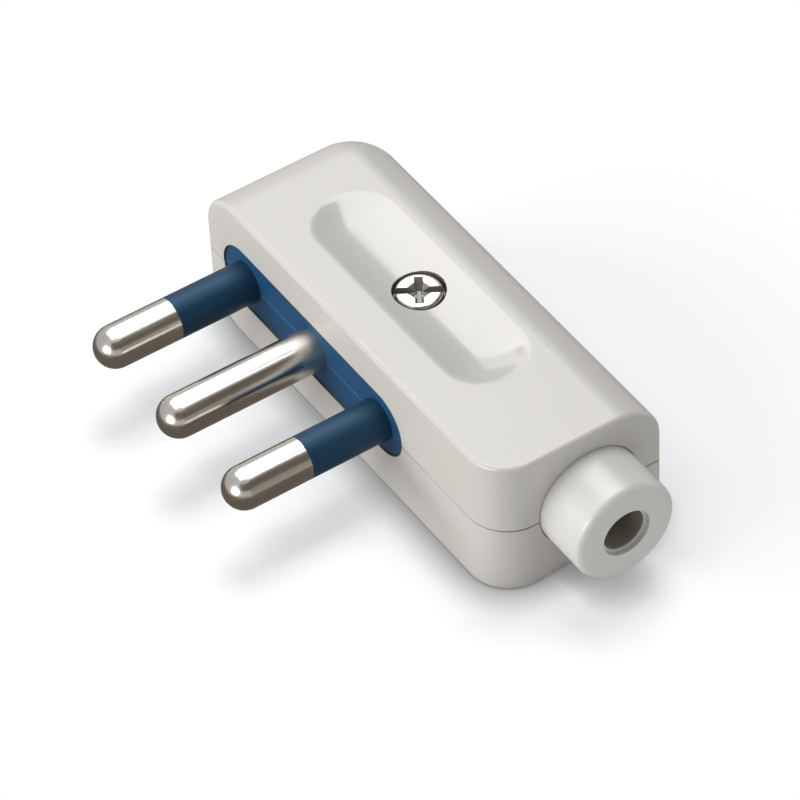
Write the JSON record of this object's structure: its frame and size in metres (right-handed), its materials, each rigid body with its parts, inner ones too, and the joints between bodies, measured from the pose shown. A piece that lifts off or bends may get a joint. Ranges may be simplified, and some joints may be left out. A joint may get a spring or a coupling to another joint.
{
  "type": "angled earthed plug",
  "caption": "Rewirable angled earthed plug: round pins in one row, screwed clamshell housing with a finger trough, cable gland at one end.",
  "frame": {"origin": "on the earth pin's axis, in the plane of the pin face", "axes": "-Y along the pins, away from the housing; +X along the pin row, towards the cable gland; +Z along the housing screw, out of the finger trough"},
  "size_m": [0.0629, 0.0409, 0.0186],
  "materials": {
    "housing_ivory": "glossy moulded plastic",
    "carrier_blue": "satin moulded plastic",
    "sleeve_blue": "satin moulded plastic",
    "plated_brass": "nickel plated, turned",
    "plated_steel": "nickel plated",
    "plain_brass": "turned",
    "clamp_plastic": "moulded"
  },
  "bodies": {
    "root": {"top_shell": "housing_ivory", "bottom_shell": "housing_ivory", "cable_gland": "housing_ivory", "pin_carrier": "carrier_blue", "far_sleeve": "sleeve_blue", "near_sleeve": "sleeve_blue", "earth_pin": "plated_brass", "far_pin": "plated_brass", "near_pin": "plated_brass", "housing_screw": "plated_steel", "earth_terminal_screw": "plain_brass", "far_terminal_screw": "plain_brass", "near_terminal_screw": "plain_brass", "threaded_insert": "plain_brass", "cord_clamp_bar": "clamp_plastic", "front_clamp_screw": "plated_steel", "back_clamp_screw": "plated_steel"}
  },
  "joints": []
}
